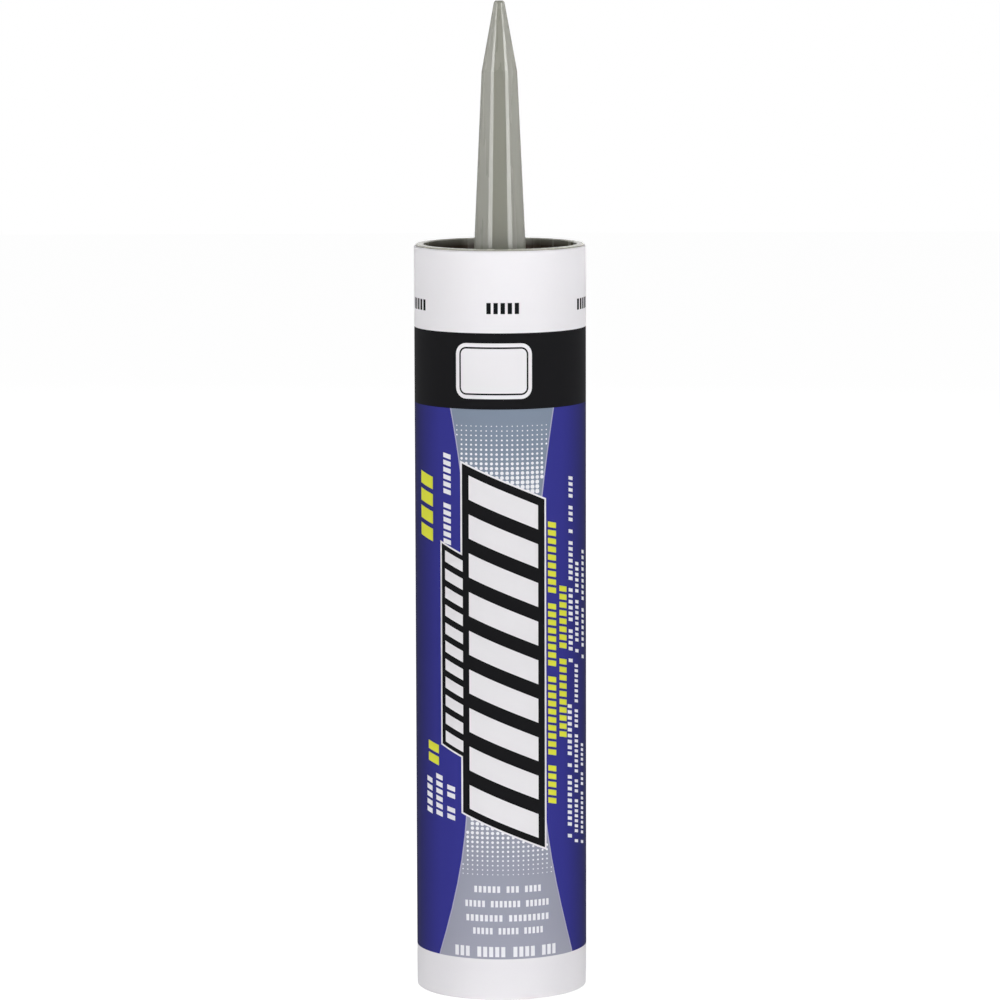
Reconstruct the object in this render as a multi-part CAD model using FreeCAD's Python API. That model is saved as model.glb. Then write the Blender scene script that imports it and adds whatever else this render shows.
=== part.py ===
import FreeCAD, Part
import math
import os

# A caulk cartridge, in millimetres, standing on its open rear end.
# The origin is the centre of the rear edge, +Z runs up the barrel to the nozzle, and -Y is the front.

# Barrel: a fibreboard tube
cartridge_od = 50.0           # over the label
barrel_length = 218.0
board_thickness = 1.37
shoulder_chamfer = 0.6        # outer corner, turned in under the cap's rim
heel_chamfer = 0.3            # outer corner of the rear end

# Label: one paper wrap
label_thickness = 0.13
glue_film = 0.06
label_end_inset = 0.12        # the paper stops this far short of the board at both ends

# Cap: plug, rim and end disc, moulded in one with the nozzle
rim_height = 0.4              # above the barrel's edge
rim_inset = 0.6               # outer edge of the rim, inside the label's face
rim_outer_chamfer = 0.3
rim_inner_chamfer = 0.25
plug_clearance = 0.05         # radial, in the bore
plug_wall = 1.15
recess_depth = 7.6            # rim's top to the end disc
disc_thickness = 1.6
disc_corner = 0.8             # where the recess wall meets the end disc
plug_lead_in = 0.8
hub_ledge = 0.9               # hub's top, outside the nozzle's corners
hub_height = 2.4
hub_draft = 8.0               # degrees from upright

# Nozzle: eight wide facets with narrow bevels between them, in two tapers
nozzle_length = 77.6          # end disc to tip
tip_cone_length = 20.4
base_across_flats = 15.5
shoulder_across_flats = 10.26
tip_across_flats = 2.9
facet_count = 8
facet_half_angle = 17.0       # degrees, half the angle that a wide facet spans
tip_chamfer = 0.35
nozzle_wall = 1.3
tip_bore_radius = 0.55
tip_closure = 1.2             # solid plastic at the closed tip

# Foil seal under the nozzle's base
seal_thickness = 0.2
seal_overlap = 3.0            # beyond the nozzle's bore

# Plunger: a piston cup with a lip at each end, ribbed behind its face
rear_recess = 16.0            # barrel's rear edge to the plunger's, behind a charge of 300 ml
plunger_length = 20.5
lip_clearance = 0.1           # radial, a running fit in the bore
lip_band = 1.6                # cylindrical part of each lip
lip_flare = 2.4               # length over which a lip springs from the skirt
skirt_relief = 0.9            # skirt's outside, inside the lips
skirt_wall = 1.2
front_lip_rise = 2.2          # lip's edge ahead of the plunger's face
front_lip_edge = 0.6          # thickness of the lip at its edge
face_thickness = 1.5
rib_count = 6
rib_thickness = 1.0
rib_height = 4.0
thrust_ring_radius = 11.0
thrust_ring_wall = 1.4
centre_boss_radius = 3.0

# Contents and travel
fill_clearance = 0.05         # keeps the contents off the pieces round them
stop_gap = 0.4                # plunger's lip to the end disc at the end of its travel

# Worked out from the sizes above
cartridge_radius = cartridge_od / 2
board_radius = cartridge_radius - label_thickness - glue_film
bore_radius = board_radius - board_thickness
rim_radius = cartridge_radius - rim_inset
rim_top = barrel_length + rim_height
plug_radius = bore_radius - plug_clearance
recess_radius = plug_radius - plug_wall
disc_top = rim_top - recess_depth
disc_underside = disc_top - disc_thickness
tip_top = disc_top + nozzle_length
nozzle_shoulder = tip_top - tip_cone_length
corner_ratio = 1 / math.cos(math.radians(facet_half_angle))
hub_top_radius = base_across_flats / 2 * corner_ratio + hub_ledge
hub_base_radius = hub_top_radius + hub_height * math.tan(math.radians(hub_draft))
base_bore_radius = base_across_flats / 2 - nozzle_wall
shoulder_bore_radius = shoulder_across_flats / 2 - nozzle_wall
seal_radius = base_bore_radius + seal_overlap
lip_radius = bore_radius - lip_clearance
skirt_radius = lip_radius - skirt_relief
skirt_inner_radius = skirt_radius - skirt_wall
plunger_edge = rear_recess + plunger_length
plunger_face = plunger_edge - front_lip_rise
rib_floor = plunger_face - face_thickness
fill_radius = bore_radius - fill_clearance
plunger_travel = disc_underside - stop_gap - plunger_edge

up = FreeCAD.Vector(0, 0, 1)
origin = FreeCAD.Vector(0, 0, 0)


def outline(corners):
    # A closed outline in the XZ plane. Each corner is (radius, height), or (radius, height, chamfer).
    points = [FreeCAD.Vector(corner[0], 0, corner[1]) for corner in corners]
    trimmed = []
    for index, (corner, point) in enumerate(zip(corners, points)):
        if len(corner) == 2:
            trimmed.append(point)
            continue
        back = (points[index - 1] - point).normalize()
        ahead = (points[(index + 1) % len(points)] - point).normalize()
        trimmed.append(point + back * corner[2])
        trimmed.append(point + ahead * corner[2])
    return Part.makePolygon(trimmed + trimmed[:1])


def turned(corners):
    # A solid of revolution about the barrel's axis.
    return Part.Face(outline(corners)).revolve(origin, up, 360)


def make_barrel():
    return turned([
        (bore_radius, 0),
        (board_radius, 0, heel_chamfer),
        (board_radius, barrel_length, shoulder_chamfer),
        (bore_radius, barrel_length),
    ])


def make_label():
    # The wrap lies on the board and turns in with its corners, so each of its chamfers starts
    # where the board's does, moved out by the paper's half turn.
    inner_radius = board_radius + glue_film
    turn = math.tan(math.radians(22.5))
    inner_turn = glue_film * turn
    outer_turn = (glue_film + label_thickness) * turn
    lower_bend = heel_chamfer
    upper_bend = barrel_length - shoulder_chamfer
    lower_reach = heel_chamfer - label_end_inset
    upper_reach = shoulder_chamfer - label_end_inset
    return turned([
        (inner_radius - lower_reach, label_end_inset - inner_turn),
        (inner_radius, lower_bend - inner_turn),
        (inner_radius, upper_bend + inner_turn),
        (inner_radius - upper_reach, barrel_length - label_end_inset + inner_turn),
        (cartridge_radius - upper_reach, barrel_length - label_end_inset + outer_turn),
        (cartridge_radius, upper_bend + outer_turn),
        (cartridge_radius, lower_bend - outer_turn),
        (cartridge_radius - lower_reach, label_end_inset - outer_turn),
    ])


def nozzle_section(across_flats, height):
    # Sixteen corners: each wide facet's two ends, the gaps between facets being the bevels.
    corner_radius = across_flats / 2 * corner_ratio
    corners = []
    for facet in range(facet_count):
        for side in (-1, 1):
            angle = math.radians(facet * 360 / facet_count + side * facet_half_angle)
            x = corner_radius * math.cos(angle)
            y = corner_radius * math.sin(angle)
            corners.append(FreeCAD.Vector(x, y, height))
    corners.append(corners[0])
    return Part.makePolygon(corners)


def make_nozzle_outside():
    sections = [
        nozzle_section(base_across_flats, disc_top),
        nozzle_section(shoulder_across_flats, nozzle_shoulder),
        nozzle_section(tip_across_flats, tip_top),
    ]
    body = Part.makeLoft(sections, True, True)
    flat_radius = tip_across_flats / 2 - tip_chamfer
    chamfer_cone = Part.makeCone(
        flat_radius + nozzle_length, flat_radius, nozzle_length, FreeCAD.Vector(0, 0, disc_top)
    )
    return body.common(chamfer_cone)


def make_nozzle_bore():
    bore_top = tip_top - tip_closure
    return turned([
        (0, disc_underside),
        (base_bore_radius, disc_underside),
        (base_bore_radius, disc_top),
        (shoulder_bore_radius, nozzle_shoulder),
        (tip_bore_radius, bore_top),
        (0, bore_top),
    ])


def make_nozzle_cap():
    plug = turned([
        (0, disc_underside),
        (plug_radius, disc_underside, plug_lead_in),
        (plug_radius, barrel_length),
        (rim_radius, barrel_length),
        (rim_radius, rim_top, rim_outer_chamfer),
        (recess_radius, rim_top, rim_inner_chamfer),
        (recess_radius, disc_top, disc_corner),
        (0, disc_top),
    ])
    hub = Part.makeCone(hub_base_radius, hub_top_radius, hub_height, FreeCAD.Vector(0, 0, disc_top))
    cap = plug.fuse([hub, make_nozzle_outside()])
    return cap.cut(make_nozzle_bore()).removeSplitter()


def make_inner_seal():
    base = FreeCAD.Vector(0, 0, disc_underside - seal_thickness)
    return Part.makeCylinder(seal_radius, seal_thickness, base)


def plunger_cup():
    # From the rear lip, up the skirt to the front lip, over the face and back down the inside.
    rear_flare = rear_recess + lip_band + lip_flare
    front_flare = plunger_edge - lip_band - lip_flare
    return turned([
        (skirt_inner_radius, rear_recess),
        (lip_radius, rear_recess),
        (lip_radius, rear_recess + lip_band),
        (skirt_radius, rear_flare),
        (skirt_radius, front_flare),
        (lip_radius, plunger_edge - lip_band),
        (lip_radius, plunger_edge),
        (lip_radius - front_lip_edge, plunger_edge),
        (skirt_inner_radius, plunger_face),
        (0, plunger_face),
        (0, rib_floor),
        (skirt_inner_radius, rib_floor),
    ])


def plunger_ribs():
    base = FreeCAD.Vector(0, 0, rib_floor - rib_height)
    ring = Part.makeCylinder(thrust_ring_radius, rib_height, base)
    ring = ring.cut(Part.makeCylinder(thrust_ring_radius - thrust_ring_wall, rib_height, base))
    boss = Part.makeCylinder(centre_boss_radius, rib_height, base)
    ribs = []
    for index in range(rib_count):
        rib = Part.makeBox(skirt_radius, rib_thickness, rib_height)
        rib.translate(FreeCAD.Vector(0, -rib_thickness / 2, rib_floor - rib_height))
        rib.rotate(origin, up, (index + 0.5) * 360 / rib_count)
        ribs.append(rib)
    return [ring, boss] + ribs


def make_plunger():
    # The ribs are as long as the skirt's outside allows, so that they run into its wall.
    return plunger_cup().fuse(plunger_ribs()).removeSplitter()


def make_sealant():
    # Fills the bore from the plunger's dished face to the end disc, round the foil seal.
    face_radius = skirt_inner_radius - fill_clearance
    lip_edge_radius = lip_radius - front_lip_edge - fill_clearance
    charge = turned([
        (0, plunger_face),
        (face_radius, plunger_face),
        (lip_edge_radius, plunger_edge),
        (lip_edge_radius, plunger_edge + fill_clearance),
        (fill_radius, plunger_edge + fill_clearance),
        (fill_radius, disc_underside),
        (0, disc_underside),
    ])
    return charge.cut(make_inner_seal())


def main():
    os.makedirs("parts", exist_ok=True)
    pieces = {
        "tube_body": make_barrel(),
        "label": make_label(),
        "nozzle_cap": make_nozzle_cap(),
        "inner_seal": make_inner_seal(),
        "plunger": make_plunger(),
        "sealant": make_sealant(),
    }
    for name, shape in pieces.items():
        shape.exportStep("parts/" + name + ".step")
        print(name, shape.isValid(), len(shape.Solids), "solid", round(shape.Volume / 1000, 2), "ml")
    print("plunger travel", round(plunger_travel, 2), "mm")


main()
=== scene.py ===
import math
import bpy
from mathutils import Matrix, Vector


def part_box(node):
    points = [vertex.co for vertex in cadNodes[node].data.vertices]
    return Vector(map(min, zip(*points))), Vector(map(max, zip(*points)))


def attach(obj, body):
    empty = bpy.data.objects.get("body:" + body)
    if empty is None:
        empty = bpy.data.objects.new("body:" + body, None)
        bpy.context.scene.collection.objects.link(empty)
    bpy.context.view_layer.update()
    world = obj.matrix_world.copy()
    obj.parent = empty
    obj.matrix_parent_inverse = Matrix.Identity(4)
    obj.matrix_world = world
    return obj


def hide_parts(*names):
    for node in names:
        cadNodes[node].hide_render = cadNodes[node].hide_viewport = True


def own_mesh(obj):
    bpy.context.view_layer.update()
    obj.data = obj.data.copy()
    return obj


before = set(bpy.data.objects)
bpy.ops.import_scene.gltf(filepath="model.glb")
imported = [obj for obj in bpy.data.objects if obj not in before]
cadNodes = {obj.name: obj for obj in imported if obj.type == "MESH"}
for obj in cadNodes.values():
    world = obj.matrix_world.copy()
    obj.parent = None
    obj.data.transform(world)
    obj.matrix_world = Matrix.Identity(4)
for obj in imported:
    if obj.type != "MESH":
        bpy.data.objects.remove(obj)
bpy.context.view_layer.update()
mm = 0.001  # settings are in millimetres and degrees, the scene is in metres
print("frame loaded:", sorted(cadNodes))


# Camera, as far and as high as it stood for the photograph

camera = {
    "distance": 1440.0,   # from the cartridge's axis
    "height": 327.6,
    "turn": -0.5,         # round the cartridge, to its right
    "sideways": -0.165,
    "pitch": 7.29,        # looking down
    "roll": 0.161,
    "lens": 179.2,
    "sensor": 36.0,       # the width that the lens is given for
    "near": 10.0,         # nothing nearer than this is drawn
}


def placeCamera():
    turn = math.radians(camera["turn"])
    bpy.ops.object.camera_add()
    shot = bpy.context.object
    shot.name = "camera"
    shot.data.lens = camera["lens"]
    shot.data.sensor_width = camera["sensor"]
    across = camera["distance"] * math.sin(turn) + camera["sideways"] * math.cos(turn)
    back = camera["distance"] * math.cos(turn) - camera["sideways"] * math.sin(turn)
    shot.location = (across * mm, -back * mm, camera["height"] * mm)
    shot.rotation_euler = (math.radians(90 - camera["pitch"]), 0, turn)
    shot.rotation_euler.rotate_axis("Z", -math.radians(camera["roll"]))
    shot.data.clip_start = camera["near"] * mm
    bpy.context.scene.camera = shot
    print("camera placed")


placeCamera()


# Colours and node helpers

def paint(code):
    # A colour read off a screen, as the linear value that the renderer works in
    channels = [int(code[i:i + 2], 16) / 255 for i in (1, 3, 5)]
    linear = [c / 12.92 if c <= 0.04045 else ((c + 0.055) / 1.055) ** 2.4 for c in channels]
    return (*linear, 1.0)


def newMaterial(name):
    material = bpy.data.materials.new(name)
    material.use_nodes = True
    tree = material.node_tree
    return material, tree, tree.nodes["Principled BSDF"]


def newGroup(name, inputs, outputs):
    group = bpy.data.node_groups.new(name, "ShaderNodeTree")
    for label, kind, value in inputs:
        socket = group.interface.new_socket(name=label, in_out="INPUT", socket_type=kind)
        socket.default_value = value
    for label, kind in outputs:
        group.interface.new_socket(name=label, in_out="OUTPUT", socket_type=kind)
    return group, group.nodes.new("NodeGroupInput"), group.nodes.new("NodeGroupOutput")


def useGroup(tree, group, values):
    node = tree.nodes.new("ShaderNodeGroup")
    node.node_tree = group
    for label, value in values.items():
        node.inputs[label].default_value = value
    return node


def feed(tree, socket, value):
    # A socket takes a plain value or another node's output
    if isinstance(value, (int, float, tuple)):
        socket.default_value = value
    else:
        tree.links.new(value, socket)


def feedAll(tree, node, values):
    for label, value in values.items():
        feed(tree, node.inputs[label], value)


def calculate(tree, operation, *operands):
    node = tree.nodes.new("ShaderNodeMath")
    node.operation = operation
    for socket, value in zip(node.inputs, operands):
        feed(tree, socket, value)
    return node.outputs[0]


def placeOn(tree):
    # Coordinates fixed to the object
    return tree.nodes.new("ShaderNodeTexCoord").outputs["Object"]


def axesOn(tree):
    # The same coordinates split up, as outputs named X, Y and Z
    split = tree.nodes.new("ShaderNodeSeparateXYZ")
    tree.links.new(placeOn(tree), split.inputs[0])
    return split.outputs


def radiusAt(tree, axes):
    squares = [calculate(tree, "MULTIPLY", axes[name], axes[name]) for name in ("X", "Y")]
    return calculate(tree, "SQRT", calculate(tree, "ADD", *squares))


def noiseOn(tree, coordinates, scale, detail=3.0, roughness=0.5):
    noise = tree.nodes.new("ShaderNodeTexNoise")
    feedAll(tree, noise, {"Vector": coordinates, "Scale": scale, "Detail": detail, "Roughness": roughness})
    return noise.outputs["Fac"]


def stretched(tree, coordinates, factors):
    mapping = tree.nodes.new("ShaderNodeMapping")
    feedAll(tree, mapping, {"Vector": coordinates, "Scale": factors})
    return mapping.outputs["Vector"]


def swing(tree, noise, amount, around):
    # Turns a noise of 0 to 1 into a sway to both sides of a value
    return calculate(tree, "MULTIPLY_ADD", calculate(tree, "SUBTRACT", noise, 0.5), amount, around)


def rampBetween(tree, value, low, high, unit=mm):
    # Rises from 0 to 1 as the value goes from low to high, in millimetres unless told otherwise
    ramp = tree.nodes.new("ShaderNodeMapRange")
    feedAll(tree, ramp, {"Value": value, "From Min": low * unit, "From Max": high * unit})
    return ramp.outputs["Result"]


def mixed(tree, first, second, share, kind="MIX"):
    # The Mix node has a set of sockets for each kind of value, and 6, 7 and 2 are the ones for colours
    mix = tree.nodes.new("ShaderNodeMix")
    mix.data_type = "RGBA"
    mix.blend_type = kind
    feed(tree, mix.inputs["Factor"], share)
    feed(tree, mix.inputs[6], first)
    feed(tree, mix.inputs[7], second)
    return mix.outputs[2]


def toned(tree, colour, tone):
    # The colour times a mask that stays near 1
    return mixed(tree, colour, tone, 1.0, "MULTIPLY")


def raised(tree, height, distance, strength=1.0, onto=None):
    bump = tree.nodes.new("ShaderNodeBump")
    feedAll(tree, bump, {"Height": height, "Distance": distance * mm, "Strength": strength})
    if onto:
        tree.links.new(onto, bump.inputs["Normal"])
    return bump.outputs["Normal"]


# Shared effects

paperGrain = {
    "cloud": 60.0,          # noise scales, of the mottle and of the fibres
    "fibre": 2400.0,
    "fibreDetail": 4.0,
    "fibreRun": 0.35,       # the fibres are drawn out along the tube
    "fibreTone": 0.012,
    "fibreGloss": 0.1,
    "fibreHeight": 0.12,
    "mottle": 0.02,
    "roughness": 0.4,
    "pitch": 62.0,          # the winding's climb in one turn
    "seamSharpness": 18.0,
    "seamSoftness": 0.4,
    "seamHeight": 0.5,
}


def makePaperSheen():
    # Coated paper wound on a spiral tube: a faint mottle, and the winding's seam just showing through
    group, given, result = newGroup(
        "paperSheen",
        [("Mottle", "NodeSocketFloat", paperGrain["mottle"]),
         ("Roughness", "NodeSocketFloat", paperGrain["roughness"]),
         ("Winding Pitch", "NodeSocketFloat", paperGrain["pitch"] * mm)],
        [("Tone", "NodeSocketFloat"), ("Roughness", "NodeSocketFloat"), ("Height", "NodeSocketFloat")])
    coordinates, axes = placeOn(group), axesOn(group)
    cloud = noiseOn(group, coordinates, paperGrain["cloud"])
    drawn = stretched(group, coordinates, (1.0, 1.0, paperGrain["fibreRun"]))
    fibre = noiseOn(group, drawn, paperGrain["fibre"], paperGrain["fibreDetail"])
    turns = calculate(group, "DIVIDE", calculate(group, "ARCTAN2", axes["Y"], axes["X"]), 2 * math.pi)
    climb = calculate(group, "DIVIDE", axes["Z"], given.outputs["Winding Pitch"])
    phase = calculate(group, "FRACT", calculate(group, "ADD", climb, turns))
    offSeam = calculate(group, "ABSOLUTE", calculate(group, "SUBTRACT", phase, 0.5))
    steep = calculate(group, "MULTIPLY", offSeam, paperGrain["seamSharpness"])
    seam = calculate(group, "SMOOTH_MIN", steep, 1.0, paperGrain["seamSoftness"])
    grain = swing(group, fibre, paperGrain["fibreTone"], 1.0)
    fibreHeight = calculate(group, "MULTIPLY", fibre, paperGrain["fibreHeight"])
    feedAll(group, result, {
        "Tone": swing(group, cloud, given.outputs["Mottle"], grain),
        "Roughness": swing(group, fibre, paperGrain["fibreGloss"], given.outputs["Roughness"]),
        "Height": calculate(group, "MULTIPLY_ADD", seam, paperGrain["seamHeight"], fibreHeight),
    })
    return group


plasticGrain = {
    "skin": 900.0,          # noise scales, of the skin, the streaks and the cloud
    "skinDetail": 2.0,
    "skinHeight": 0.4,
    "flow": 300.0,
    "flowRun": 0.04,        # the streaks are drawn out along the moulding
    "flowGloss": 0.12,
    "cloud": 110.0,
    "cloudTone": 0.06,
    "streaks": 0.04,
    "roughness": 0.4,
    "ior": 1.51,
    "edgeSamples": 6,
}


def makeMouldedGrain():
    # Moulded polyethylene: a faint skin, with streaks where the plastic flowed
    group, given, result = newGroup(
        "mouldedGrain",
        [("Streaks", "NodeSocketFloat", plasticGrain["streaks"]),
         ("Roughness", "NodeSocketFloat", plasticGrain["roughness"])],
        [("Tone", "NodeSocketFloat"), ("Roughness", "NodeSocketFloat"), ("Height", "NodeSocketFloat")])
    coordinates = placeOn(group)
    skin = noiseOn(group, coordinates, plasticGrain["skin"], plasticGrain["skinDetail"])
    drawn = stretched(group, coordinates, (1.0, 1.0, plasticGrain["flowRun"]))
    flow = noiseOn(group, drawn, plasticGrain["flow"])
    cloud = noiseOn(group, coordinates, plasticGrain["cloud"])
    drift = swing(group, cloud, plasticGrain["cloudTone"], 1.0)
    feedAll(group, result, {
        "Tone": swing(group, flow, given.outputs["Streaks"], drift),
        "Roughness": swing(group, flow, plasticGrain["flowGloss"], given.outputs["Roughness"]),
        "Height": calculate(group, "MULTIPLY_ADD", skin, plasticGrain["skinHeight"], flow),
    })
    return group


paperSheen = makePaperSheen()
mouldedGrain = makeMouldedGrain()


# Finishes

printFinish = {
    "white": "#f0eef1",
    "blue": "#3a3a92",
    "bluePaintedShade": "#28284c",  # painted shade: the blue is made darker towards the sides of the label, where the light falls off
    "sideStart": 45.0,      # degrees from the front
    "sideEnd": 80.0,
    "black": "#171719",
    "greyTop": "#8491a3",   # the grey panel's two colours, and where one starts and ends to fade
    "greyFoot": "#a5a6b5",
    "fadeStart": 10.0,
    "fadeEnd": 175.0,
    "edgeLine": "#b4b4cc",
    "dot": "#f4f4f8",
    "yellow": "#e6e84a",
    "roughness": 0.8,
    "specular": 0.06,
    "relief": 0.012,
}


def fadedUpwards(tree, foot, top):
    rise = rampBetween(tree, axesOn(tree)["Z"], printFinish["fadeStart"], printFinish["fadeEnd"])
    return mixed(tree, foot, top, rise)


def paintedShadeAtSides(tree, middle, side):
    # Painted shade: the colour darkens as the surface turns away from the front, towards the tube's sides
    axes = axesOn(tree)
    front = calculate(tree, "MULTIPLY", axes["Y"], -1.0)
    around = calculate(tree, "ABSOLUTE", calculate(tree, "ARCTAN2", axes["X"], front))
    share = rampBetween(tree, around, printFinish["sideStart"], printFinish["sideEnd"], math.pi / 180)
    return mixed(tree, middle, side, share)


def makePrint(name, colour, topColour=None, shadedSideColour=None):
    material, tree, shader = newMaterial(name)
    sheen = useGroup(tree, paperSheen, {"Roughness": printFinish["roughness"]})
    ink = paint(colour)
    if topColour:
        ink = fadedUpwards(tree, ink, paint(topColour))
    if shadedSideColour:
        ink = paintedShadeAtSides(tree, ink, paint(shadedSideColour))
    feedAll(tree, shader, {
        "Base Color": toned(tree, ink, sheen.outputs["Tone"]),
        "Roughness": sheen.outputs["Roughness"],
        "Specular IOR Level": printFinish["specular"],
        "Normal": raised(tree, sheen.outputs["Height"], printFinish["relief"]),
    })
    return material


capFinish = {
    "colour": "#7f7f74",
    "rim": "#b6b5a8",       # painted highlight: the rim's top and outer edge made paler, as where they catch the light
    "rimFoot": 218.05,
    "grime": "#30220f",     # painted shade, dark and warm, down in the recess
    "grimeTop": 218.3,
    "grimeFull": 216.2,
    "grimeStart": 13.0,     # radii between which it sets in, outside the nozzle
    "grimeEnd": 20.0,
    "recess": 22.3,         # radius
    "blend": 0.1,
    "streaks": 0.05,
    "roughness": 0.27,
    "edge": 0.16,
    "relief": 0.012,
    "strength": 0.5,
}


def makeCapShades():
    # Two masks for the cap: a painted highlight on its rim, and painted shade down in the recess round the
    # nozzle
    group, given, result = newGroup(
        "capShades", [], [("Rim Highlight", "NodeSocketFloat"), ("Grime", "NodeSocketFloat")])
    axes = axesOn(group)
    radius = radiusAt(group, axes)
    recess, blend = capFinish["recess"], capFinish["blend"]
    upper = rampBetween(group, axes["Z"], capFinish["rimFoot"], capFinish["rimFoot"] + blend)
    outer = rampBetween(group, radius, recess - blend, recess + blend)
    depth = rampBetween(group, axes["Z"], capFinish["grimeTop"], capFinish["grimeFull"])
    offNozzle = rampBetween(group, radius, capFinish["grimeStart"], capFinish["grimeEnd"])
    inside = rampBetween(group, radius, recess + blend, recess)
    feedAll(group, result, {
        "Rim Highlight": calculate(group, "MULTIPLY", upper, outer),
        "Grime": calculate(group, "MULTIPLY", depth, calculate(group, "MULTIPLY", offNozzle, inside)),
    })
    return group


def plasticOn(tree, shader, finish, colour):
    grain = useGroup(tree, mouldedGrain, {"Streaks": finish["streaks"], "Roughness": finish["roughness"]})
    soft = tree.nodes.new("ShaderNodeBevel")  # moulded edges are never quite sharp
    soft.samples = plasticGrain["edgeSamples"]
    soft.inputs["Radius"].default_value = finish["edge"] * mm
    feedAll(tree, shader, {
        "Base Color": toned(tree, colour, grain.outputs["Tone"]),
        "Roughness": grain.outputs["Roughness"],
        "IOR": plasticGrain["ior"],
        "Normal": raised(tree, grain.outputs["Height"], finish["relief"], finish["strength"],
                         soft.outputs["Normal"]),
    })


def makeCapPlastic():
    material, tree, shader = newMaterial("capPlastic")
    shades = useGroup(tree, makeCapShades(), {})
    # Painted highlight on the rim, over the plastic's own colour
    plastic = mixed(tree, paint(capFinish["colour"]), paint(capFinish["rim"]), shades.outputs["Rim Highlight"])
    # Painted shade down in the recess, darkest at its foot
    plastic = mixed(tree, plastic, paint(capFinish["grime"]), shades.outputs["Grime"])
    plasticOn(tree, shader, capFinish, plastic)
    return material


# Label, drawn flat as the printer's sheet and then wrapped round the tube

labelLow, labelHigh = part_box("label")
wrapRadius = labelHigh.x / mm
wrap = {
    "bottom": labelLow.z / mm,
    "top": labelHigh.z / mm,
    "paper": 0.05,
    "ink": 0.02,          # one printed layer
    "layers": 5,          # the most that lie on one another
    "lap": 9.0,           # the paper's overlap at the back
    "lapLift": 0.08,
    "shoulder": 0.62,     # the paper turns in with the board's edge
    "heel": 0.34,
    "cornerSteps": 5,
    "cornerEnd": 78.0,    # how far round the corner the paper reaches
    "strip": 0.85,        # widest flat facet, 2 degrees of the turn
    "shift": -1.31,       # of all the artwork along the sheet, to where it faces the camera
}
halfTurn = math.pi * wrapRadius
printOrder = {
    # Layers of ink from the paper out. What is less than one layer higher sinks into what it covers
    "paper": 0,
    "bands": 1,
    "marks": 1,
    "panel": 2,
    "badge": 2,
    "panelEdges": 3,
    "dots": 3,
    "blocks": 3,
    "badgeKeyline": 3,
    "titleKeyline": 3.4,
    "badgeMiddle": 4,
    "titleGround": 4.2,
    "titleBars": 5,
}


def layerDepth(layer):
    # Layer 0 is the paper's own face, and each ink lies one step further out
    return (wrap["layers"] - layer) * wrap["ink"]


def flatShape(corners, layer):
    # A filled outline on the flat sheet: (along, up) corners, anticlockwise as printed
    bpy.ops.object.select_all(action="DESELECT")
    bpy.ops.mesh.primitive_circle_add(vertices=len(corners), fill_type="NGON")
    shape = bpy.context.object
    for vertex, (along, up) in zip(shape.data.vertices, corners):
        vertex.co = ((along + wrap["shift"]) * mm, layerDepth(layer) * mm, up * mm)
    shape.data.update()
    if shape.data.polygons[0].normal.y > 0:
        shape.data.flip_normals()
    return shape


def rectangle(left, right, low, high, lean=0.0):
    # With a lean, the left side stands that much higher than the right one
    return [(left, low + lean), (right, low), (right, high), (left, high + lean)]


def repeated(shape, count, along, up):
    if count > 1:
        row = shape.modifiers.new("row", "ARRAY")
        row.count = count
        row.use_relative_offset = False
        row.use_constant_offset = True
        row.constant_offset_displace = (along * mm, 0, up * mm)
        bpy.context.view_layer.objects.active = shape
        bpy.ops.object.modifier_apply(modifier="row")
    return shape


def joinShapes(shapes):
    bpy.ops.object.select_all(action="DESELECT")
    for shape in shapes:
        shape.select_set(True)
    bpy.context.view_layer.objects.active = shapes[0]
    if len(shapes) > 1:
        bpy.ops.object.join()
    return bpy.context.object


def cutIntoStrips(sheet):
    # Cuts up the sheet at even steps along it, so that it can follow the tube's curve
    alongs = [vertex.co.x / mm for vertex in sheet.data.vertices]
    first = math.ceil(min(alongs) / wrap["strip"])
    last = math.floor(max(alongs) / wrap["strip"])
    bpy.ops.object.select_all(action="DESELECT")
    sheet.select_set(True)
    bpy.context.view_layer.objects.active = sheet
    bpy.ops.object.mode_set(mode="EDIT")
    for step in range(first, last + 1):
        bpy.ops.mesh.select_all(action="SELECT")
        bpy.ops.mesh.bisect(plane_co=(step * wrap["strip"] * mm, 0, 0), plane_no=(1, 0, 0))
    bpy.ops.object.mode_set(mode="OBJECT")


def thicken(sheet, thickness):
    skin = sheet.modifiers.new("thickness", "SOLIDIFY")
    skin.thickness = thickness * mm
    skin.offset = -1
    bpy.context.view_layer.objects.active = sheet
    bpy.ops.object.modifier_apply(modifier="thickness")


def wrapRound(sheet):
    # Bends the flat sheet about the upright through its middle, and brings the bend's centre to the axis
    alongs = [vertex.co.x for vertex in sheet.data.vertices]
    bend = sheet.modifiers.new("bend", "SIMPLE_DEFORM")
    bend.deform_method = "BEND"
    bend.deform_axis = "Z"
    bend.angle = (max(alongs) - min(alongs)) / (wrapRadius * mm)
    bpy.context.view_layer.objects.active = sheet
    bpy.ops.object.modifier_apply(modifier="bend")
    for vertex in sheet.data.vertices:
        vertex.co.y -= wrapRadius * mm


def finishPiece(piece, name, material, body, angle=35):
    bpy.ops.object.select_all(action="DESELECT")
    piece.select_set(True)
    bpy.context.view_layer.objects.active = piece
    bpy.ops.object.mode_set(mode="EDIT")
    bpy.ops.mesh.select_all(action="SELECT")
    bpy.ops.mesh.normals_make_consistent(inside=False)
    bpy.ops.object.mode_set(mode="OBJECT")
    bpy.ops.object.shade_smooth_by_angle(angle=math.radians(angle))
    piece.name = name
    piece.data.name = name
    piece.data.materials.clear()
    piece.data.materials.append(material)
    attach(piece, body)
    return piece


def printPiece(name, shapes, material, curved=True):
    # Shapes as small as dots follow the tube without being cut into strips
    sheet = joinShapes(shapes)
    if curved:
        cutIntoStrips(sheet)
    thicken(sheet, wrap["ink"])
    wrapRound(sheet)
    print("printed:", name, len(sheet.data.polygons), "faces")
    return finishPiece(sheet, name, material, "cartridge")


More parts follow.
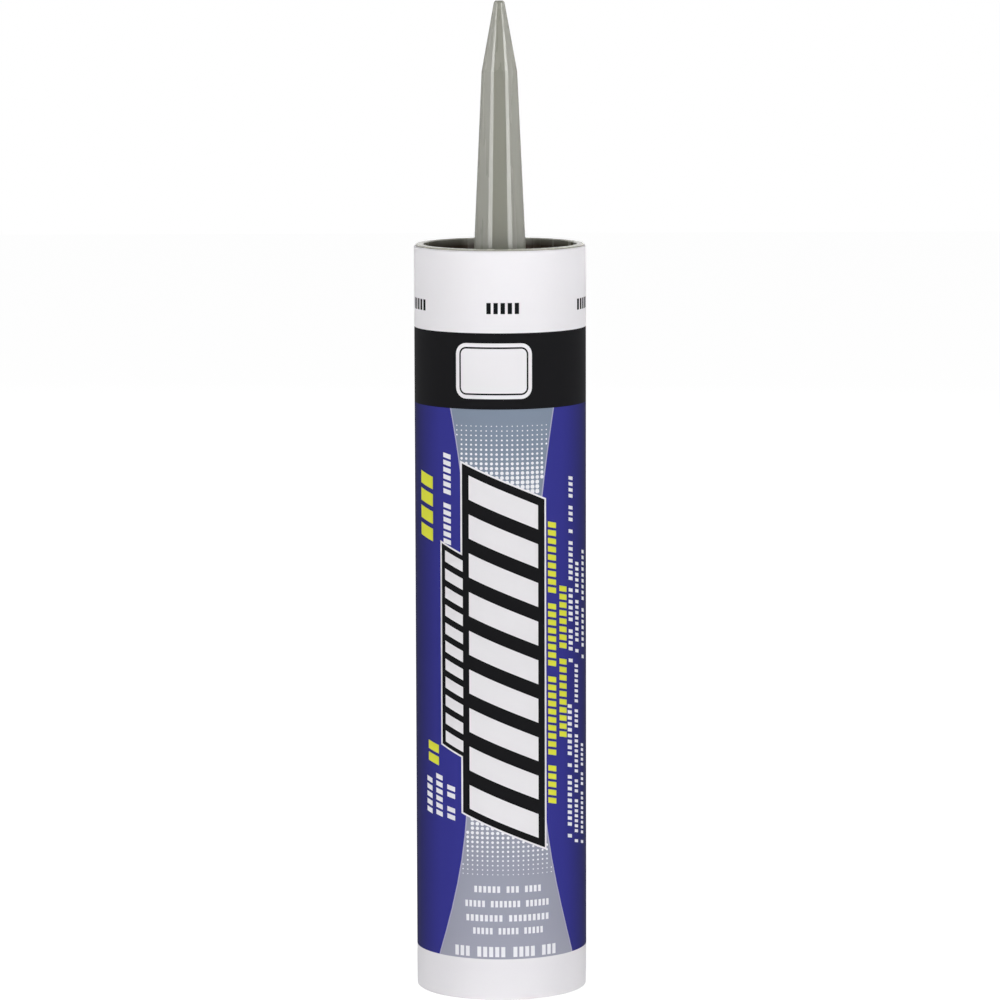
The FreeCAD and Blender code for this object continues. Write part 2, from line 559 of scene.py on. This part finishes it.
def flatStrip(levels, layer, short=0.0):
    # A sheet right round the tube and over its own start, with a row of faces between each two levels
    columns = math.ceil((2 * halfTurn + wrap["lap"]) / wrap["strip"])
    rows = len(levels) - 1
    bpy.ops.object.select_all(action="DESELECT")
    bpy.ops.mesh.primitive_grid_add(x_subdivisions=columns, y_subdivisions=rows, size=1)
    sheet = bpy.context.object
    length = 2 * halfTurn + wrap["lap"] - short
    for vertex in sheet.data.vertices:
        along = -halfTurn + (vertex.co.x + 0.5) * length
        up = levels[round((vertex.co.y + 0.5) * rows)]
        lift = wrap["lapLift"] if along > halfTurn - wrap["strip"] else 0.0
        vertex.co = (along * mm, (layerDepth(layer) - lift) * mm, up * mm)
    sheet.data.update()
    if sheet.data.polygons[0].normal.y > 0:
        sheet.data.flip_normals()
    return sheet


def cornerLevels(end, radius, direction):
    # Heights round one rounded edge of the wrap, from the straight part to the paper's end
    reach = math.sin(math.radians(wrap["cornerEnd"]))
    start = end - direction * radius * reach
    count = wrap["cornerSteps"]
    steps = [math.radians(wrap["cornerEnd"] * i / count) for i in range(count + 1)]
    return [start + direction * radius * math.sin(step) for step in steps]


def turnIn(sheet, start, radius, direction):
    # Moves what lies past the start of a rounded edge inwards, along the edge's arc
    for vertex in sheet.data.vertices:
        past = (vertex.co.z / mm - start) * direction
        if past > 0:
            vertex.co.y += (radius - math.sqrt(radius * radius - past * past)) * mm


def makeWrap(material):
    heel = cornerLevels(wrap["bottom"], wrap["heel"], -1)
    shoulder = cornerLevels(wrap["top"], wrap["shoulder"], 1)
    sheet = flatStrip(heel[::-1] + shoulder, printOrder["paper"])
    turnIn(sheet, heel[0], wrap["heel"], -1)
    turnIn(sheet, shoulder[0], wrap["shoulder"], 1)
    thicken(sheet, wrap["paper"])
    wrapRound(sheet)
    piece = finishPiece(sheet, "paper_wrap", material, "cartridge")
    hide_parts("label")
    print("wrap made")


bands = {
    "blackTop": 194.5,
    "blueTop": 172.6,
    "blueBottom": 12.25,
    "endGap": 0.06,        # the print stops this far short of the paper's cut end
}


def makeBand(name, low, high, material):
    band = flatStrip([low, high], printOrder["bands"], bands["endGap"])
    thicken(band, wrap["ink"])
    wrapRound(band)
    finishPiece(band, name, material, "cartridge")
    print("band made:", name)


panel = {
    # The grey panel's two flared ends; along is given at the top, half way down and at the bottom
    "top": {"high": 172.6, "low": 146.0, "left": (-14.3, -11.75, -10.0), "right": (17.7, 15.35, 13.5)},
    "bottom": {"high": 55.5, "low": 12.25, "left": (-9.34, -12.49, -19.3), "right": (14.46, 18.45, 25.4)},
    "edgeWidth": 0.35,
    "steps": 6,             # straight pieces of each side
}


def sideAt(part, side, up):
    # How far along a panel's side is at that height, on a curve through its three places
    top, middle, bottom = part[side]
    t = (part["high"] - up) / (part["high"] - part["low"])
    return top * (1 - t) * (1 - 2 * t) + 4 * middle * t * (1 - t) + bottom * t * (2 * t - 1)


def panelSide(part, side):
    step = (part["low"] - part["high"]) / panel["steps"]
    heights = [part["high"] + step * i for i in range(panel["steps"] + 1)]
    return [(sideAt(part, side, up), up) for up in heights]


def makePanel(grey, edge):
    shapes, lines = [], []
    for part in (panel["top"], panel["bottom"]):
        left = panelSide(part, "left")
        right = panelSide(part, "right")
        shapes.append(flatShape(left + right[::-1], printOrder["panel"]))
        for side, inward in ((left, 1), (right, -1)):
            inner = [(along + inward * panel["edgeWidth"], up) for along, up in side]
            lines.append(flatShape(side + inner[::-1], printOrder["panelEdges"]))
    printPiece("grey_panel", shapes, grey)
    printPiece("panel_edges", lines, edge)


halftone = {
    "across": 1.5,          # between columns
    "down": 1.353,          # between rows
    "rows": 15,
    "small": 0.34,
    "large": 1.26,
    "corners": 12,
    "roundUpTo": 0.8,       # a wider dot is squarer
    "squaring": 3.0,
    # The part of the panel, its first row's height, and the way in which the rows go on and the dots grow
    "zones": (("top", 167.8, -1), ("bottom", 37.2, 1)),
}


def dotOutline(along, up, width):
    # Round while small, and squarer as it grows to meet its neighbours
    power = 2 + halftone["squaring"] * max(0.0, width - halftone["roundUpTo"])
    points = []
    for i in range(halftone["corners"]):
        angle = math.radians((i + 0.5) * 360 / halftone["corners"])
        c, s = math.cos(angle), math.sin(angle)
        reach = width / 2 / (abs(c) ** power + abs(s) ** power) ** (1 / power)
        points.append((along + reach * c, up + reach * s))
    return points


def makeHalftone(white):
    shapes = []
    growth = (halftone["large"] - halftone["small"]) / (halftone["rows"] - 1)
    for zone, start, direction in halftone["zones"]:
        for row in range(halftone["rows"]):
            up = start + direction * row * halftone["down"]
            width = halftone["small"] + growth * row
            margin = panel["edgeWidth"] + width / 2
            first = math.ceil((sideAt(panel[zone], "left", up) + margin) / halftone["across"])
            last = math.floor((sideAt(panel[zone], "right", up) - margin) / halftone["across"])
            dot = flatShape(dotOutline(first * halftone["across"], up, width), printOrder["dots"])
            shapes.append(repeated(dot, last - first + 1, halftone["across"], 0))
    printPiece("halftone_dots", shapes, white, curved=False)


title = {
    # A plain keylined block of slanted bars, with a slimmer one beside it
    "blocks": (
        {"left": -10.4, "right": 14.3, "low": 44.6, "high": 146.3, "lean": 10.6, "bars": 9, "margin": 2.1},
        {"left": -17.6, "right": -9.0, "low": 71.0, "high": 129.6, "lean": 3.7, "bars": 11, "margin": 1.26},
    ),
    "keyline": 0.55,
    "white": 0.62,          # share of each bar's pitch
    "lastGap": 0.9,         # what of the gap after the last bar is left out
}


def barPitch(block):
    span = block["high"] - block["low"]
    gap = span / block["bars"] * (1 - title["white"]) * title["lastGap"]
    return (span - 2 * block["margin"] + gap) / block["bars"]


def slantedBars(block, slope):
    margin, pitch = block["margin"], barPitch(block)
    low = block["low"] + margin + slope * margin
    lean = slope * (block["right"] - block["left"] - 2 * margin)
    high = low + pitch * title["white"]
    corners = rectangle(block["left"] + margin, block["right"] - margin, low, high, lean)
    return repeated(flatShape(corners, printOrder["titleBars"]), block["bars"], 0, pitch)


def makeTitle(white, black):
    keylines, grounds, bars = [], [], []
    edge = title["keyline"]
    for block in title["blocks"]:
        left, right, low, high = block["left"], block["right"], block["low"], block["high"]
        slope = block["lean"] / (right - left)
        outer = rectangle(left - edge, right + edge, low - edge * (1 + slope), high + edge * (1 - slope),
                          block["lean"] + 2 * edge * slope)
        keylines.append(flatShape(outer, printOrder["titleKeyline"]))
        inner = rectangle(left, right, low, high, block["lean"])
        grounds.append(flatShape(inner, printOrder["titleGround"]))
        bars.append(slantedBars(block, slope))
    printPiece("title_keyline", keylines, white)
    printPiece("title_ground", grounds, black)
    printPiece("title_bars", bars, white)


badge = {
    "left": -12.2,
    "right": 10.4,
    "low": 175.6,
    "high": 191.6,
    "corner": 3.2,
    "cornerSteps": 6,
    "inset": 1.1,           # of the keyline from the badge's edge
    "line": 0.5,
}


def badgeShape(inset, layer):
    # A rounded plate, that much smaller all round than the badge
    left, right = badge["left"] + badge["corner"], badge["right"] - badge["corner"]
    low, high = badge["low"] + badge["corner"], badge["high"] - badge["corner"]
    radius = badge["corner"] - inset
    points = []
    for along, up, start in ((right, high, 0), (left, high, 90), (left, low, 180), (right, low, 270)):
        for i in range(badge["cornerSteps"] + 1):
            angle = math.radians(start + 90 * i / badge["cornerSteps"])
            points.append((along + radius * math.cos(angle), up + radius * math.sin(angle)))
    return flatShape(points, printOrder[layer])


def makeBadge(white, black):
    printPiece("badge", [badgeShape(0, "badge")], white)
    printPiece("badge_keyline", [badgeShape(badge["inset"], "badgeKeyline")], black)
    middle = badgeShape(badge["inset"] + badge["line"], "badgeMiddle")
    printPiece("badge_middle", [middle], white)


# Small print, as plain blocks where words would be

uprightLines = (
    # Read up the tube. Words are numbers of blocks, and the fill is what a block takes of its pitch
    {"colour": "yellow", "fill": 0.72, "lines": (
        {"left": -28.0, "right": -21.4, "low": 133.4, "high": 155.0, "words": (4,)},
        {"left": -24.0, "right": -19.2, "low": 68.0, "high": 76.0, "words": (2,)},
    )},
    {"colour": "white", "fill": 0.66, "lines": (
        {"left": -16.9, "right": -14.2, "low": 132.9, "high": 160.4, "words": (6, 6)},
        {"left": -24.9, "right": -22.2, "low": 53.4, "high": 65.2, "words": (5,)},
        {"left": -20.4, "right": -17.7, "low": 53.0, "high": 66.4, "words": (6,)},
        {"left": -15.9, "right": -13.1, "low": 52.4, "high": 63.6, "words": (2, 2)},
    )},
    {"colour": "yellow", "fill": 0.68, "lines": (
        {"left": 15.5, "right": 18.4, "low": 57.0, "high": 140.6, "words": (5, 10, 8, 9)},
        {"left": 19.7, "right": 22.7, "low": 76.0, "high": 121.6, "words": (10, 8)},
    )},
    {"colour": "white", "fill": 0.6, "lines": (
        {"left": 23.7, "right": 25.7, "low": 97.6, "high": 153.0, "words": (1, 4, 6, 7, 1, 3, 4)},
        {"left": 27.2, "right": 29.2, "low": 100.0, "high": 127.6, "words": (1, 8, 6)},
        {"left": 31.7, "right": 33.7, "low": 97.6, "high": 130.6, "words": (1, 7, 9)},
        {"left": 23.2, "right": 25.2, "low": 46.0, "high": 86.4, "words": (1, 9, 1, 9)},
        {"left": 26.8, "right": 28.8, "low": 44.0, "high": 97.6, "words": (1, 7, 3, 8, 4, 8)},
        {"left": 31.0, "right": 33.0, "low": 43.0, "high": 73.6, "words": (1, 9, 3, 5)},
    )},
)
blockLean = 0.22  # rise of an upright line's blocks towards their left side, per width
levelLines = (
    # Read across
    {"left": -7.0, "right": 13.4, "low": 31.9, "high": 33.8, "words": (6, 3, 4), "fill": 0.62},
    {"left": -9.8, "right": 16.0, "low": 27.6, "high": 29.5, "words": (5, 7, 6), "fill": 0.62},
    {"left": -9.5, "right": 16.0, "low": 23.4, "high": 25.3, "words": (8, 9), "fill": 0.62},
    {"left": -7.4, "right": 14.0, "low": 19.6, "high": 21.5, "words": (5, 5, 5), "fill": 0.62},
    {"left": -13.2, "right": 18.6, "low": 12.9, "high": 15.9, "words": (3, 5, 4, 3), "fill": 0.66},
)
colourMarks = {
    # A short row of blocks, repeated round the tube
    "middle": 2.25,
    "width": 10.2,
    "low": 200.0,
    "high": 203.2,
    "words": (5,),
    "fill": 0.62,
    "count": 5,
}


def wordBlocks(words, fill, length, drawBlock):
    # Shares a line's length out between its blocks, with one block's room between words
    pitch = length / (sum(words) + len(words) - 1)
    shapes, place = [], 0
    for count in words:
        shapes.append(drawBlock(place * pitch, pitch * fill, count, pitch))
        place += count + 1
    return shapes


def uprightBlocks(line, fill):
    lean = blockLean * (line["right"] - line["left"])

    def drawBlock(start, width, count, pitch):
        low = line["low"] + start
        corners = rectangle(line["left"], line["right"], low, low + width, lean)
        return repeated(flatShape(corners, printOrder["blocks"]), count, 0, pitch)

    return wordBlocks(line["words"], fill, line["high"] - line["low"] - lean, drawBlock)


def levelBlocks(line, layer):
    def drawBlock(start, width, count, pitch):
        left = line["left"] + start
        corners = rectangle(left, left + width, line["low"], line["high"])
        return repeated(flatShape(corners, printOrder[layer]), count, pitch, 0)

    return wordBlocks(line["words"], line["fill"], line["right"] - line["left"], drawBlock)


def makeSmallPrint(white, yellow):
    inked = {"white": [], "yellow": []}
    for group in uprightLines:
        for line in group["lines"]:
            inked[group["colour"]].extend(uprightBlocks(line, group["fill"]))
    for line in levelLines:
        inked["white"].extend(levelBlocks(line, "blocks"))
    printPiece("white_print", inked["white"], white)
    printPiece("yellow_print", inked["yellow"], yellow)


def makeColourMarks(black):
    marks = []
    half = colourMarks["width"] / 2
    spacing = 2 * halfTurn / colourMarks["count"]
    for turn in range(colourMarks["count"]):
        middle = colourMarks["middle"] + (turn - colourMarks["count"] // 2) * spacing
        row = {**colourMarks, "left": middle - half, "right": middle + half}
        marks.extend(levelBlocks(row, "marks"))
    printPiece("colour_marks", marks, black)


printWhite = makePrint("printWhite", printFinish["white"])
printBlue = makePrint("printBlue", printFinish["blue"], shadedSideColour=printFinish["bluePaintedShade"])
printBlack = makePrint("printBlack", printFinish["black"])
printGrey = makePrint("printGrey", printFinish["greyFoot"], printFinish["greyTop"])
printEdge = makePrint("printEdge", printFinish["edgeLine"])
printDot = makePrint("printDot", printFinish["dot"])
printYellow = makePrint("printYellow", printFinish["yellow"])

makeWrap(printWhite)
makeBand("black_band", bands["blueTop"], bands["blackTop"], printBlack)
makeBand("blue_field", bands["blueBottom"], bands["blueTop"], printBlue)
makePanel(printGrey, printEdge)
makeHalftone(printDot)
makeTitle(printWhite, printBlack)
makeBadge(printWhite, printBlack)
makeSmallPrint(printDot, printYellow)
makeColourMarks(printBlack)


# Plain studio: a pale floor, an even room light and soft lamps

studio = {
    "floor": 6.0,           # metres
    "floorColour": 0.8,
    "floorRoughness": 0.9,
    "floorGlow": 0.84,      # seen by the camera and in reflections only, so that the floor reads white
    "room": 0.18,
    "aim": 150,             # height that a lamp points at, and its spread, unless its row says otherwise
    "spread": 180,
    "lamps": (
        # Azimuths are counted from the camera's side, to its right
        {"name": "fill", "azimuth": -4, "height": 950, "distance": 1300, "wide": 700, "tall": 500,
         "watts": 1.35},
        {"name": "back", "azimuth": 176, "height": 800, "distance": 1300, "wide": 700, "tall": 500,
         "watts": 1.8},
        {"name": "left", "azimuth": -44, "height": 190, "distance": 900, "wide": 170, "tall": 430,
         "watts": 2.85, "aim": 95},
        {"name": "right", "azimuth": 46, "height": 190, "distance": 900, "wide": 170, "tall": 430,
         "watts": 3.1, "aim": 95},
        {"name": "tipLeft", "azimuth": -44, "height": 540, "distance": 900, "wide": 160, "tall": 160,
         "watts": 0.032, "aim": 305, "spread": 20},
        {"name": "tipRight", "azimuth": 46, "height": 540, "distance": 900, "wide": 160, "tall": 160,
         "watts": 0.042, "aim": 305, "spread": 20},
        {"name": "lowLeft", "azimuth": -52, "height": 70, "distance": 900, "wide": 170, "tall": 100,
         "watts": 0.017, "aim": -10, "spread": 20},
        {"name": "lowRight", "azimuth": 52, "height": 70, "distance": 900, "wide": 170, "tall": 100,
         "watts": 0.017, "aim": -10, "spread": 20},
        {"name": "farLeft", "azimuth": -89, "height": 410, "distance": 900, "wide": 420, "tall": 420,
         "watts": 0.075, "aim": 295, "spread": 30},
        {"name": "farRight", "azimuth": 91, "height": 410, "distance": 900, "wide": 420, "tall": 420,
         "watts": 0.07, "aim": 295, "spread": 30},
    ),
}


def seenDirectly(tree):
    # One for camera, mirror and glass rays, and none for the light that falls on the object
    path = tree.nodes.new("ShaderNodeLightPath")
    direct = calculate(tree, "MAXIMUM", path.outputs["Is Camera Ray"], path.outputs["Is Glossy Ray"])
    return calculate(tree, "MAXIMUM", direct, path.outputs["Is Transmission Ray"])


def makeRoom():
    # White where it is seen, and a dimmer white for the light that it gives
    world = bpy.data.worlds.new("room")
    bpy.context.scene.world = world
    world.use_nodes = True
    tree = world.node_tree
    tree.nodes.clear()
    mix = tree.nodes.new("ShaderNodeMixShader")
    tree.links.new(seenDirectly(tree), mix.inputs[0])
    for socket, strength in ((mix.inputs[1], studio["room"]), (mix.inputs[2], 1.0)):
        background = tree.nodes.new("ShaderNodeBackground")
        feedAll(tree, background, {"Color": (1.0, 1.0, 1.0, 1.0), "Strength": strength})
        tree.links.new(background.outputs[0], socket)
    output = tree.nodes.new("ShaderNodeOutputWorld")
    tree.links.new(mix.outputs[0], output.inputs["Surface"])


def makeFloor():
    bpy.ops.object.select_all(action="DESELECT")
    bpy.ops.mesh.primitive_plane_add(size=studio["floor"])
    floor = bpy.context.object
    floor.name = "floor"
    material, tree, shader = newMaterial("paleFloor")
    level = studio["floorColour"]
    feedAll(tree, shader, {
        "Base Color": (level, level, level, 1.0),
        "Roughness": studio["floorRoughness"],
        "Specular IOR Level": 0.0,
    })
    glow = tree.nodes.new("ShaderNodeEmission")
    feed(tree, glow.inputs["Strength"], calculate(tree, "MULTIPLY", seenDirectly(tree), studio["floorGlow"]))
    both = tree.nodes.new("ShaderNodeAddShader")
    tree.links.new(shader.outputs[0], both.inputs[0])
    tree.links.new(glow.outputs[0], both.inputs[1])
    tree.links.new(both.outputs[0], tree.nodes["Material Output"].inputs["Surface"])
    floor.data.materials.append(material)


def hangLamp(lamp):
    turn = math.radians(lamp["azimuth"] + camera["turn"])
    bpy.ops.object.light_add(type="AREA")
    light = bpy.context.object
    light.name = "softbox_" + lamp["name"]
    light.data.shape = "RECTANGLE"
    light.data.size = lamp["wide"] * mm
    light.data.size_y = lamp["tall"] * mm
    light.data.energy = lamp["watts"]
    light.data.spread = math.radians(lamp.get("spread", studio["spread"]))
    light.location = (lamp["distance"] * math.sin(turn) * mm, -lamp["distance"] * math.cos(turn) * mm,
                      lamp["height"] * mm)
    drop = math.atan2(lamp["height"] - lamp.get("aim", studio["aim"]), lamp["distance"])
    light.rotation_euler = (math.pi / 2 - drop, 0, turn)


makeRoom()
makeFloor()
for lamp in studio["lamps"]:
    hangLamp(lamp)
bpy.context.scene.view_settings.view_transform = "Standard"
print("studio lit")


# The other finishes

boardFinish = {
    "kraft": "#a08a6c",
    "mottle": 0.35,
    "ply": 0.43,            # one wound layer
    "seam": 0.14,           # share of each layer that shows as a dark line
    "seamDepth": 0.35,      # how much darker that line is
    "liner": "#b4b5b4",
    "linerEdge": 23.54,     # radius to which the foil liner reaches
    "linerMetal": 0.75,
    "linerRoughness": 0.38,
    "roughness": 0.86,
    "specular": 0.3,
    "relief": 0.05,
}


def makeBoard():
    # Wound board, with its plies in rings at the cut end and a dull foil liner on the inside
    material, tree, shader = newMaterial("fibreboard")
    sheen = useGroup(tree, paperSheen,
                     {"Mottle": boardFinish["mottle"], "Roughness": boardFinish["roughness"]})
    fromLiner = calculate(tree, "SUBTRACT", radiusAt(tree, axesOn(tree)), boardFinish["linerEdge"] * mm)
    liner = calculate(tree, "LESS_THAN", fromLiner, 0.0)
    layer = calculate(tree, "FRACT", calculate(tree, "DIVIDE", fromLiner, boardFinish["ply"] * mm))
    line = calculate(tree, "LESS_THAN", layer, boardFinish["seam"])
    plies = calculate(tree, "MULTIPLY_ADD", line, -boardFinish["seamDepth"], 1.0)
    shade = calculate(tree, "MULTIPLY", sheen.outputs["Tone"], plies)
    smoother = boardFinish["linerRoughness"] - boardFinish["roughness"]
    feedAll(tree, shader, {
        "Base Color": mixed(tree, toned(tree, paint(boardFinish["kraft"]), shade),
                            paint(boardFinish["liner"]), liner),
        "Metallic": calculate(tree, "MULTIPLY", liner, boardFinish["linerMetal"]),
        "Roughness": calculate(tree, "MULTIPLY_ADD", liner, smoother, sheen.outputs["Roughness"]),
        "Specular IOR Level": boardFinish["specular"],
        "Normal": raised(tree, sheen.outputs["Height"], boardFinish["relief"]),
    })
    return material


plungerFinish = {
    "colour": "#dcdcd4",
    "streaks": 0.03,
    "roughness": 0.42,
    "edge": 0.2,
    "relief": 0.02,
    "strength": 0.6,
}


def makePlungerPlastic():
    material, tree, shader = newMaterial("plungerPlastic")
    plasticOn(tree, shader, plungerFinish, paint(plungerFinish["colour"]))
    return material


foilFinish = {
    "colour": "#c8cacd",
    "crinkle": 700.0,       # noise scale
    "crinkleDetail": 5.0,
    "crinkleRoughness": 0.6,
    "smoothest": 0.2,
    "roughening": 0.2,
    "relief": 0.08,
}


def makeFoil():
    # Foil disc: bright metal with fine crinkles
    material, tree, shader = newMaterial("sealFoil")
    crinkle = noiseOn(tree, placeOn(tree), foilFinish["crinkle"], foilFinish["crinkleDetail"],
                      foilFinish["crinkleRoughness"])
    feedAll(tree, shader, {
        "Base Color": paint(foilFinish["colour"]),
        "Metallic": 1.0,
        "Roughness": calculate(tree, "MULTIPLY_ADD", crinkle, foilFinish["roughening"],
                               foilFinish["smoothest"]),
        "Normal": raised(tree, crinkle, foilFinish["relief"]),
    })
    return material


pasteFinish = {
    "colour": "#c9c9c6",
    "folds": 90.0,          # noise scale
    "foldRun": 3.0,         # the folds lie across the tube
    "foldTone": 0.08,
    "smoothest": 0.3,
    "roughening": 0.15,
    "relief": 0.25,
}


def makePaste():
    # Sealing paste: smooth, with soft folds where it was filled
    material, tree, shader = newMaterial("sealantPaste")
    across = stretched(tree, placeOn(tree), (1.0, 1.0, pasteFinish["foldRun"]))
    folds = noiseOn(tree, across, pasteFinish["folds"])
    feedAll(tree, shader, {
        "Base Color": toned(tree, paint(pasteFinish["colour"]),
                            swing(tree, folds, pasteFinish["foldTone"], 1.0)),
        "Roughness": calculate(tree, "MULTIPLY_ADD", folds, pasteFinish["roughening"],
                               pasteFinish["smoothest"]),
        "Normal": raised(tree, folds, pasteFinish["relief"]),
    })
    return material


for name, material in (("nozzle_cap", makeCapPlastic()), ("tube_body", makeBoard()),
                       ("plunger", makePlungerPlastic()), ("inner_seal", makeFoil())):
    node = cadNodes[name]
    node.data.materials.clear()
    node.data.materials.append(material)
print("finishes on the carried-over solids")


# Contents: fill the bore from the plunger's dished face to the end disc, round the foil seal

chargeLow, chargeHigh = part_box("sealant")
sealLow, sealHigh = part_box("inner_seal")
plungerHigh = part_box("plunger")[1]
charge = {
    "gap": 0.05,            # inside the solid that it replaces, and off the pieces round it
    "dish": 21.14,          # radius of the flat end on the plunger's face
    "lip": 22.64,           # radius inside the edge of the plunger's front lip
    "steps": 96,
    "end": 209.2,           # underside of the end disc, which the plunger presses it against
    "left": 0.0015,         # share of its length left when the plunger has gone all the way
}


def chargeProfile():
    # Half the charge's section as (radius, height), from the plunger's face round to the foil seal
    gap = charge["gap"]
    face = chargeLow.z / mm + gap
    lipEdge = plungerHigh.z / mm + gap
    wall = chargeHigh.x / mm - gap
    top = chargeHigh.z / mm - gap
    sealEdge = sealHigh.x / mm + gap
    sealFace = sealLow.z / mm - gap
    return ((0, face), (charge["dish"], face), (charge["lip"], lipEdge), (wall, lipEdge + gap), (wall, top),
            (sealEdge, top), (sealEdge, sealFace), (0, sealFace))


def makeCharge(material):
    profile = chargeProfile()
    bpy.ops.object.select_all(action="DESELECT")
    bpy.ops.mesh.primitive_circle_add(vertices=len(profile), fill_type="NOTHING")
    paste = bpy.context.object
    for vertex, (radius, up) in zip(paste.data.vertices, profile):
        vertex.co = (radius * mm, 0, up * mm)
    bpy.ops.object.mode_set(mode="EDIT")
    bpy.ops.mesh.select_mode(type="EDGE")
    bpy.ops.mesh.select_all(action="DESELECT")
    bpy.ops.object.mode_set(mode="OBJECT")
    for edge in paste.data.edges:
        edge.select = all(paste.data.vertices[i].co.x == 0 for i in edge.vertices)
    bpy.ops.object.mode_set(mode="EDIT")
    bpy.ops.mesh.delete(type="EDGE")
    bpy.ops.mesh.select_mode(type="VERT")
    bpy.ops.mesh.select_all(action="SELECT")
    bpy.ops.mesh.spin(steps=charge["steps"], angle=2 * math.pi, center=(0, 0, 0), axis=(0, 0, 1))
    bpy.ops.mesh.select_all(action="SELECT")
    bpy.ops.mesh.remove_doubles(threshold=0.001 * mm)
    bpy.ops.object.mode_set(mode="OBJECT")
    piece = finishPiece(paste, "sealant_charge", material, "cartridge")
    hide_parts("sealant")
    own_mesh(piece)
    print("contents made:", len(paste.data.polygons), "faces")


makeCharge(makePaste())
